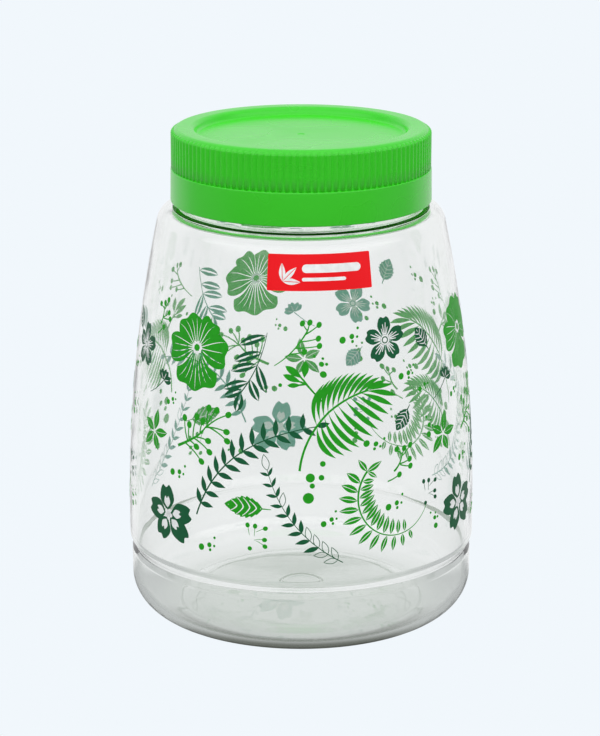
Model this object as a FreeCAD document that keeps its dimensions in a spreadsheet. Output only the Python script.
"""A clear blow-moulded storage jar with a green screw lid, a sealing ring and a front sticker.

Every sub-part is an object of one parametric document, and its sizes are bound to the Sizes sheet.
Millimetres; +Z up; the origin is the centre of the foot, on the plane the jar stands on; front is -Y.
"""
import FreeCAD, Part
import math
import os
import re
import Sketcher

# name, value, meaning: the driving dimensions
SIZES = [
    ("wall", 2.7, "thickness of the blown wall"),
    ("floor_wall", 2.8, "thickness of the base"),
    ("foot_radius", 52.5, "inner edge of the standing ring"),
    ("push_radius", 47.0, "where the underside turns into the push-up"),
    ("push_rise", 3.4, "height of the push-up at its edge"),
    ("push_crown", 5.1, "height of the push-up next to the centre pad"),
    ("push_step_in", 0.8, "how much further out the push-up lies on the inside"),
    ("push_bend", 18.0, "rounding where the push-up levels off, under the base"),
    ("push_bend_inside", 12.0, "the same rounding inside the jar"),
    ("pad_radius", 9.8, "outer radius of the round pad at the base centre"),
    ("pad_slope", 1.6, "width of the pad's sloping edge"),
    ("pad_rise", 0.6, "height of the pad"),
    ("cup_radius", 74.2, "outer radius of the base cup"),
    ("cup_corner", 16.0, "rounding from the cup's side to the foot"),
    ("cup_top", 27.0, "height where the cup ends"),
    ("groove_radius", 73.1, "outer radius at the bottom of the waist groove"),
    ("groove_height", 29.6, "height of the bottom of the waist groove"),
    ("waist_bottom", 25.5, "height where the inside starts to narrow to the waist"),
    ("waist_radius", 70.9, "inner radius at the waist"),
    ("waist_height", 29.8, "height of the narrowest place inside the waist"),
    ("waist_top", 34.0, "height where the inside is as wide as the body again"),
    ("waist_rounding", 4.5, "rounding of the waist's bends on the inside"),
    ("body_radius", 75.1, "widest outer radius of the body"),
    ("body_bottom", 33.0, "height of the body's lower edge"),
    ("widest_height", 43.6, "height where the wall starts to lean in"),
    ("wall_curve", 615.0, "radius of the long curve of the wall"),
    ("shoulder_height", 178.7, "height of the flat shoulder"),
    ("shoulder_corner", 7.5, "rounding from the wall to the shoulder"),
    ("ceiling_height", 175.6, "height of the shoulder's underside, inside the jar"),
    ("ceiling_corner", 4.8, "rounding from the inside of the wall to the shoulder's underside"),
    ("neck_radius", 50.4, "outer radius of the neck, without its thread"),
    ("neck_top", 208.3, "height of the mouth's rim"),
    ("neck_root", 1.5, "fillet where the neck meets the shoulder"),
    ("mouth_edge", 1.0, "rounding of the mouth's rim"),
    ("soft_edge", 3.0, "rounding of the groove's outer edges"),
    ("sharp_edge", 1.2, "rounding of the groove's bottom and the foot's inner edge"),
    ("starts", 2, "number of thread starts"),
    ("lead", 12.0, "rise of the lid in one turn"),
    ("thread_height", 9.0, "rise of each thread ridge from end to end"),
    ("thread_root", 1.6, "half the width of a ridge where it meets its wall"),
    ("thread_crest", 0.8, "half the width of a ridge at its crest"),
    ("thread_depth", 2.0, "how far a ridge stands out of its wall"),
    ("thread_bite", 0.5, "how far a ridge is sunk into its wall"),
    ("neck_thread_start", 194.5, "height of the neck ridge's lower end"),
    ("thread_drop", 2.4, "how far the lid's ridge sits below the neck's"),
    ("lid_bottom", 180.7, "height of the skirt's lower edge"),
    ("lid_top", 212.0, "height of the lid's rim"),
    ("skirt_radius", 55.5, "outer radius of the skirt at its lower edge"),
    ("skirt_top_radius", 55.3, "outer radius of the skirt where the ribs begin"),
    ("band_bottom", 194.9, "height where the ribs begin"),
    ("band_radius", 54.5, "outer radius between the ribs"),
    ("rim_radius", 54.2, "outer radius of the rim above the ribs"),
    ("rim_rounding", 2.6, "rounding of the rim's outer edge"),
    ("crest_radius", 45.3, "inner radius of the rim's crest"),
    ("crest_rounding", 2.4, "rounding of the rim's inner edge"),
    ("panel_radius", 44.3, "radius of the sunken panel"),
    ("panel_top", 208.5, "height of the sunken panel"),
    ("panel_wall", 1.8, "thickness of the sunken panel"),
    ("panel_foot", 1.6, "fillet around the sunken panel"),
    ("lid_bore", 53.0, "inner radius of the lid, without its thread"),
    ("channel_foot", 46.3, "inner radius of the seal channel at its mouth"),
    ("channel_radius", 46.8, "inner radius of the seal channel at its ceiling"),
    ("channel_top", 210.0, "height of the seal channel's ceiling"),
    ("channel_corner", 2.0, "fillet between the channel's ceiling and the lid's wall"),
    ("skirt_edge", 0.6, "rounding of the skirt's edges"),
    ("gate_radius", 1.6, "radius of the moulding mark at the panel's centre"),
    ("gate_depth", 0.25, "depth of the moulding mark"),
    ("rib_count", 120, "number of grip ribs"),
    ("rib_radius", 1.25, "radius of each rib's round bar"),
    ("rib_axis", 53.85, "distance of each bar's axis from the lid's axis"),
    ("rib_top", 210.95, "height where each rib's domed end closes"),
    ("seal_inner", 47.1, "inner radius of the sealing ring"),
    ("seal_outer", 50.9, "outer radius of the sealing ring"),
    ("seal_bottom", 208.4, "height of the sealing ring's lower face"),
    ("seal_top", 209.9, "height of the sealing ring's upper face"),
    ("seal_edge", 0.4, "rounding of the sealing ring's edges"),
    ("label_bottom", 156.5, "height of the sticker's lower edge"),
    ("label_top", 171.1, "height of the sticker's upper edge"),
    ("label_angle", 38.8, "angle that the sticker spans around the wall"),
    ("label_turn", -83.0, "direction of the sticker's centre, from +X"),
    ("label_gap", 0.02, "air between the wall and the sticker"),
    ("label_film", 0.18, "thickness of the sticker"),
]
MATCH = 0.01          # how closely an edge has to match a place that is asked for

doc = FreeCAD.newDocument("StorageJar")


def make_sheet():
    """The Sizes sheet: a name, a value and a meaning in each row."""
    sheet = doc.addObject("Spreadsheet::Sheet", "Sizes")
    for row, (name, value, meaning) in enumerate(SIZES, 1):
        sheet.set(f"A{row}", name)
        sheet.set(f"B{row}", str(value))
        sheet.set(f"C{row}", meaning)
        sheet.setAlias(f"B{row}", name)
    doc.recompute()
    return sheet


sheet = make_sheet()
NAMES = re.compile(r"\b(" + "|".join(name for name, value, meaning in SIZES) + r")\b")


def on_sheet(formula):
    """The formula with each size's name pointed at its cell on the sheet."""
    return NAMES.sub(r"Sizes.\1", formula)


def size(formula):
    """The present value of a formula of sizes."""
    return float(sheet.evalExpression(on_sheet(formula)))


def bind(thing, setting, formula):
    """Bind one setting of an object to a formula of sizes."""
    thing.setExpression(setting, on_sheet(formula))


def make_body(name):
    """An empty body whose label names its file."""
    body = doc.addObject("PartDesign::Body", name)
    body.Label = name
    return body


def sketch_on(body, name, plane="XZ_Plane"):
    """An empty sketch on one of the body's own origin planes."""
    sketch = body.newObject("Sketcher::SketchObject", name)
    support = next(item for item in body.Origin.OriginFeatures if item.Role == plane)
    sketch.AttachmentSupport = [(support, "")]
    sketch.MapMode = "FlatFace"
    return sketch


def dimension(sketch, kind, places, formula):
    """Add one dimension to a sketch and bind it to a formula."""
    index = sketch.addConstraint(Sketcher.Constraint(kind, *places, size(formula)))
    bind(sketch, f"Constraints[{index}]", formula)


def pin_point(sketch, geometry, end, across, up):
    """Hold a point of the sketch at (across, up) from its origin."""
    for kind, formula in (("DistanceX", across), ("DistanceY", up)):
        if size(formula) == 0.0:
            on_axis = -2 if kind == "DistanceX" else -1
            sketch.addConstraint(Sketcher.Constraint("PointOnObject", geometry, end, on_axis))
        else:
            dimension(sketch, kind, (-1, 1, geometry, end), formula)


def draw_outline(sketch, corners, curved=None):
    """A closed outline through the corners, each (across, up) in formulas.

    curved is (number, radius, centre height, held): the side that starts at that corner is an arc that
    bulges to the right. Only one coordinate of its far end is held, "across" or "up".
    """
    points = [FreeCAD.Vector(size(across), size(up), 0) for across, up in corners]
    count = len(corners)
    arc_side = curved[0] if curved else None
    if curved:
        radius = size(curved[1])
        rise = size(corners[arc_side + 1][1]) - size(curved[2])
        centre = FreeCAD.Vector(points[arc_side].x - radius, size(curved[2]), 0)
    for side in range(count):
        start = points[side]
        finish = points[(side + 1) % count]
        if side == arc_side:
            turn = math.asin(rise / radius)
            circle = Part.Circle(centre, FreeCAD.Vector(0, 0, 1), radius)
            sketch.addGeometry(Part.ArcOfCircle(circle, 0, turn))
        else:
            sketch.addGeometry(Part.LineSegment(start, finish))
    for side in range(count):
        following = (side + 1) % count
        sketch.addConstraint(Sketcher.Constraint("Coincident", side, 2, following, 1))
    for side, (across, up) in enumerate(corners):
        if curved and side == arc_side + 1:
            kind, formula = ("DistanceX", across) if curved[3] == "across" else ("DistanceY", up)
            dimension(sketch, kind, (-1, 1, side, 1), formula)
        else:
            pin_point(sketch, side, 1, across, up)
    if curved:
        dimension(sketch, "Radius", (arc_side,), curved[1])
        dimension(sketch, "DistanceY", (-1, 1, arc_side, 3), curved[2])


def revolve(body, sketch, kind="PartDesign::Revolution"):
    """Turn a sketch about its upright axis, to add material or, with PartDesign::Groove, to cut it."""
    feature = body.newObject(kind, sketch.Name.replace("Outline", ""))
    feature.Profile = sketch
    feature.ReferenceAxis = (sketch, ["V_Axis"])
    feature.Angle = 360.0
    sketch.Visibility = False
    doc.recompute()
    return feature


def ring_edges(feature, rings):
    """Names of a feature's circular edges that lie at the given (radius, height) places."""
    places = [(size(radius), size(height)) for radius, height in rings]
    names = []
    for number, edge in enumerate(feature.Shape.Edges, 1):
        if not isinstance(edge.Curve, Part.Circle):
            continue
        ring = (edge.Curve.Radius, edge.Curve.Center.z)
        if any(abs(ring[0] - place[0]) < MATCH and abs(ring[1] - place[1]) < MATCH for place in places):
            names.append(f"Edge{number}")
    if len(names) < len(places):
        raise RuntimeError(f"{feature.Label}: found {len(names)} of {len(places)} edges")
    return names


def round_rings(body, name, rings, radius):
    """Fillet the circular edges at the given places of the body's newest feature."""
    base = body.Tip
    fillet = body.newObject("PartDesign::Fillet", name)
    fillet.Base = (base, ring_edges(base, rings))
    bind(fillet, "Radius", radius)
    doc.recompute()
    return fillet


def pattern_around(body, feature, count):
    """Repeat a feature evenly around the upright axis."""
    pattern = body.newObject("PartDesign::PolarPattern", feature.Name + "Pattern")
    pattern.Originals = [feature]
    upright = next(item for item in body.Origin.OriginFeatures if item.Role == "Z_Axis")
    pattern.Axis = (upright, [""])
    pattern.Angle = 360.0
    bind(pattern, "Occurrences", count)
    body.Tip = pattern
    doc.recompute()
    return pattern


def add_thread(body, wall_radius, direction, start):
    """Right-handed ridges on a round wall; direction is + for outwards or - for inwards."""
    back = "-" if direction == "+" else "+"
    sunk = f"{wall_radius} {back} thread_bite"
    crest = f"{wall_radius} {direction} thread_depth"
    outline = [
        (sunk, f"{start} - thread_root"),
        (wall_radius, f"{start} - thread_root"),
        (crest, f"{start} - thread_crest"),
        (crest, f"{start} + thread_crest"),
        (wall_radius, f"{start} + thread_root"),
        (sunk, f"{start} + thread_root"),
    ]
    sketch = sketch_on(body, "ThreadOutline")
    draw_outline(sketch, outline)
    ridge = body.newObject("PartDesign::AdditiveHelix", "ThreadRidge")
    ridge.Profile = sketch
    ridge.ReferenceAxis = (sketch, ["V_Axis"])
    ridge.Mode = "pitch-height-angle"
    bind(ridge, "Pitch", "lead")
    bind(ridge, "Height", "thread_height")
    sketch.Visibility = False
    doc.recompute()
    pattern_around(body, ridge, "starts")


def arc_end(radius, height):
    """Formula for how far out the wall's long curve has come in at a height."""
    reach = f"sqrt(({radius}) ^ 2 - ({height} - widest_height) ^ 2)"
    return f"body_radius - wall_curve + {reach}"


WALL_END = arc_end("wall_curve", "shoulder_height")
CAVITY_END = arc_end("wall_curve - wall", "ceiling_height")


def make_jar_body():
    """The blown jar: foot, base cup, waist groove, tapering wall, shoulder and threaded neck."""
    body = make_body("jar_body")
    outside = sketch_on(body, "BlankOutline")
    draw_outline(outside, [
        ("0", "push_crown + pad_rise"),
        ("pad_radius - pad_slope", "push_crown + pad_rise"),
        ("pad_radius", "push_crown"),
        ("push_radius", "push_rise"),
        ("foot_radius", "0"),
        ("cup_radius", "0"),
        ("cup_radius", "cup_top"),
        ("groove_radius", "groove_height"),
        ("body_radius", "body_bottom"),
        ("body_radius", "widest_height"),
        (WALL_END, "shoulder_height"),
        ("neck_radius", "shoulder_height"),
        ("neck_radius", "neck_top"),
        ("0", "neck_top"),
    ], curved=(9, "wall_curve", "widest_height", "up"))
    revolve(body, outside)
    inside = sketch_on(body, "CavityOutline")
    draw_outline(inside, [
        ("0", "push_crown + pad_rise + floor_wall"),
        ("pad_radius - pad_slope", "push_crown + pad_rise + floor_wall"),
        ("pad_radius", "push_crown + floor_wall"),
        ("push_radius + push_step_in", "push_rise + floor_wall"),
        ("foot_radius + push_step_in", "floor_wall"),
        ("cup_radius - wall", "floor_wall"),
        ("cup_radius - wall", "waist_bottom"),
        ("waist_radius", "waist_height"),
        ("body_radius - wall", "waist_top"),
        ("body_radius - wall", "widest_height"),
        (CAVITY_END, "ceiling_height"),
        ("neck_radius - wall", "ceiling_height"),
        ("neck_radius - wall", "neck_top + wall"),
        ("0", "neck_top + wall"),
    ], curved=(9, "wall_curve - wall", "widest_height", "up"))
    blank_volume = body.Shape.Volume
    revolve(body, inside, "PartDesign::Groove")
    if body.Shape.Volume > 0.2 * blank_volume:
        raise RuntimeError("the jar's cavity wasn't cut")
    round_rings(body, "InnerCupCorner", [("cup_radius - wall", "floor_wall")], "cup_corner - wall")
    round_rings(body, "InnerShoulder", [(CAVITY_END, "ceiling_height")], "ceiling_corner")
    round_rings(body, "InnerWaist", [
        ("cup_radius - wall", "waist_bottom"),
        ("waist_radius", "waist_height"),
        ("body_radius - wall", "waist_top"),
    ], "waist_rounding")
    inner_push = ("push_radius + push_step_in", "push_rise + floor_wall")
    round_rings(body, "InnerPush", [inner_push], "push_bend_inside")
    round_rings(body, "InnerFoot", [("foot_radius + push_step_in", "floor_wall")], "soft_edge")
    round_rings(body, "InnerNeck", [("neck_radius - wall", "ceiling_height")], "soft_edge")

    round_rings(body, "CupCorner", [("cup_radius", "0")], "cup_corner")
    round_rings(body, "ShoulderCorner", [(WALL_END, "shoulder_height")], "shoulder_corner")
    groove_edges = [("cup_radius", "cup_top"), ("body_radius", "body_bottom")]
    round_rings(body, "GrooveEdges", groove_edges, "soft_edge")
    round_rings(body, "FootEdges", [("groove_radius", "groove_height"), ("foot_radius", "0")], "sharp_edge")
    round_rings(body, "PushEdge", [("push_radius", "push_rise")], "push_bend")
    round_rings(body, "NeckRoot", [("neck_radius", "shoulder_height")], "neck_root")
    mouth_edges = [("neck_radius", "neck_top"), ("neck_radius - wall", "neck_top")]
    round_rings(body, "MouthEdges", mouth_edges, "mouth_edge")
    add_thread(body, "neck_radius", "+", "neck_thread_start")
    return body


def make_screw_lid():
    """The moulded lid: smooth skirt, ribbed band, rounded rim, sunken panel, seal channel and thread."""
    body = make_body("screw_lid")
    section = sketch_on(body, "ShellOutline")
    draw_outline(section, [
        ("0", "panel_top - panel_wall"),
        ("channel_foot", "panel_top - panel_wall"),
        ("channel_radius", "channel_top"),
        ("lid_bore", "channel_top"),
        ("lid_bore", "lid_bottom"),
        ("skirt_radius", "lid_bottom"),
        ("skirt_top_radius", "band_bottom"),
        ("band_radius", "band_bottom"),
        ("rim_radius", "lid_top"),
        ("crest_radius", "lid_top"),
        ("panel_radius", "panel_top"),
        ("0", "panel_top"),
    ])
    revolve(body, section)
    round_rings(body, "RimEdge", [("rim_radius", "lid_top")], "rim_rounding")
    round_rings(body, "CrestEdge", [("crest_radius", "lid_top")], "crest_rounding")
    round_rings(body, "PanelFoot", [("panel_radius", "panel_top")], "panel_foot")
    round_rings(body, "ChannelCorner", [("lid_bore", "channel_top")], "channel_corner")
    round_rings(body, "SkirtEdges", [
        ("skirt_radius", "lid_bottom"),
        ("skirt_top_radius", "band_bottom"),
        ("lid_bore", "lid_bottom"),
    ], "skirt_edge")

    mark = sketch_on(body, "MarkOutline")
    draw_outline(mark, [
        ("0", "panel_top - gate_depth"),
        ("gate_radius", "panel_top - gate_depth"),
        ("gate_radius", "panel_top + gate_depth"),
        ("0", "panel_top + gate_depth"),
    ])
    plain_volume = body.Shape.Volume
    revolve(body, mark, "PartDesign::Groove")
    if body.Shape.Volume >= plain_volume:
        raise RuntimeError("the moulding mark wasn't cut")
    add_thread(body, "lid_bore", "-", "neck_thread_start - thread_drop")
    add_ribs(body)
    return body


def add_ribs(body):
    """Round upright bars with domed tops, sunk into the band all the way round."""
    outline = sketch_on(body, "RibOutline")
    draw_outline(outline, [
        ("rib_axis", "band_bottom - 2 * skirt_edge"),
        ("rib_axis + rib_radius", "band_bottom - 2 * skirt_edge"),
        ("rib_axis + rib_radius", "rib_top - rib_radius"),
        ("rib_axis", "rib_top"),
    ], curved=(2, "rib_radius", "rib_top - rib_radius", "across"))
    rib = body.newObject("PartDesign::Revolution", "Rib")
    rib.Profile = outline
    rib.ReferenceAxis = (outline, ["Edge4"])
    rib.Angle = 360.0
    outline.Visibility = False
    doc.recompute()
    pattern_around(body, rib, "rib_count")


def make_seal_ring():
    """The soft flat ring in the lid's channel, pressed by the mouth's rim when the lid is shut."""
    body = make_body("seal_ring")
    section = sketch_on(body, "RingOutline")
    draw_outline(section, [
        ("seal_inner", "seal_bottom"),
        ("seal_outer", "seal_bottom"),
        ("seal_outer", "seal_top"),
        ("seal_inner", "seal_top"),
    ])
    revolve(body, section)
    sides = ("seal_inner", "seal_outer")
    corners = [(side, height) for side in sides for height in ("seal_bottom", "seal_top")]
    round_rings(body, "RingEdges", corners, "seal_edge")
    return body


def make_front_label():
    """The thin sticker that follows the curve of the wall below the shoulder."""
    body = make_body("front_label")
    section = sketch_on(body, "FilmOutline")
    draw_strip(section, "body_radius + label_gap", "body_radius + label_gap + label_film")
    film = body.newObject("PartDesign::Revolution", "Film")
    film.Profile = section
    film.ReferenceAxis = (section, ["V_Axis"])
    film.Midplane = True
    bind(film, "Angle", "label_angle")
    section.Visibility = False
    doc.recompute()
    upright = FreeCAD.Vector(0, 0, 1)
    turn = FreeCAD.Rotation(upright, size("label_turn"))
    body.Placement = FreeCAD.Placement(FreeCAD.Vector(0, 0, 0), turn)
    bind(body, "Placement.Rotation.Angle", "label_turn")
    doc.recompute()
    return body


def draw_strip(sketch, inner, outer):
    """A thin closed strip between two arcs that run alongside the wall's long curve."""
    heights = [size("label_bottom"), size("label_top")]
    middle = FreeCAD.Vector(size("body_radius - wall_curve"), size("widest_height"), 0)
    arcs = []
    for formula in (inner, outer):
        radius = size(formula) - middle.x
        turns = [math.asin((height - middle.y) / radius) for height in heights]
        circle = Part.Circle(middle, FreeCAD.Vector(0, 0, 1), radius)
        arcs.append(Part.ArcOfCircle(circle, *turns))
    near, far = arcs
    sketch.addGeometry(near)
    sketch.addGeometry(far)
    sketch.addGeometry(Part.LineSegment(near.StartPoint, far.StartPoint))
    sketch.addGeometry(Part.LineSegment(near.EndPoint, far.EndPoint))
    for line, end in ((2, 1), (3, 2)):
        sketch.addConstraint(Sketcher.Constraint("Coincident", line, 1, 0, end))
        sketch.addConstraint(Sketcher.Constraint("Coincident", line, 2, 1, end))
        sketch.addConstraint(Sketcher.Constraint("Horizontal", line))
    sketch.addConstraint(Sketcher.Constraint("Coincident", 0, 3, 1, 3))
    dimension(sketch, "DistanceX", (-1, 1, 0, 3), "body_radius - wall_curve")
    dimension(sketch, "DistanceY", (-1, 1, 0, 3), "widest_height")
    dimension(sketch, "Radius", (0,), f"{inner} - (body_radius - wall_curve)")
    dimension(sketch, "Radius", (1,), f"{outer} - (body_radius - wall_curve)")
    dimension(sketch, "DistanceY", (-1, 1, 0, 1), "label_bottom")
    dimension(sketch, "DistanceY", (-1, 1, 0, 2), "label_top")


def check_and_export(bodies):
    """Stop on any failed object, then write each sub-part to parts/LABEL.step."""
    for item in doc.Objects:
        if "Invalid" in item.State or "Error" in item.State:
            raise RuntimeError(f"{item.Label}: {item.State}")
    os.makedirs("parts", exist_ok=True)
    for body in bodies:
        shape = body.Shape
        if shape.isNull() or not shape.isValid() or len(shape.Solids) != 1:
            raise RuntimeError(f"{body.Label}: the shape isn't one valid solid")
        shape.exportStep(f"parts/{body.Label}.step")
        print(body.Label, "volume", round(shape.Volume, 1), "mm3")


check_and_export([make_jar_body(), make_screw_lid(), make_seal_ring(), make_front_label()])
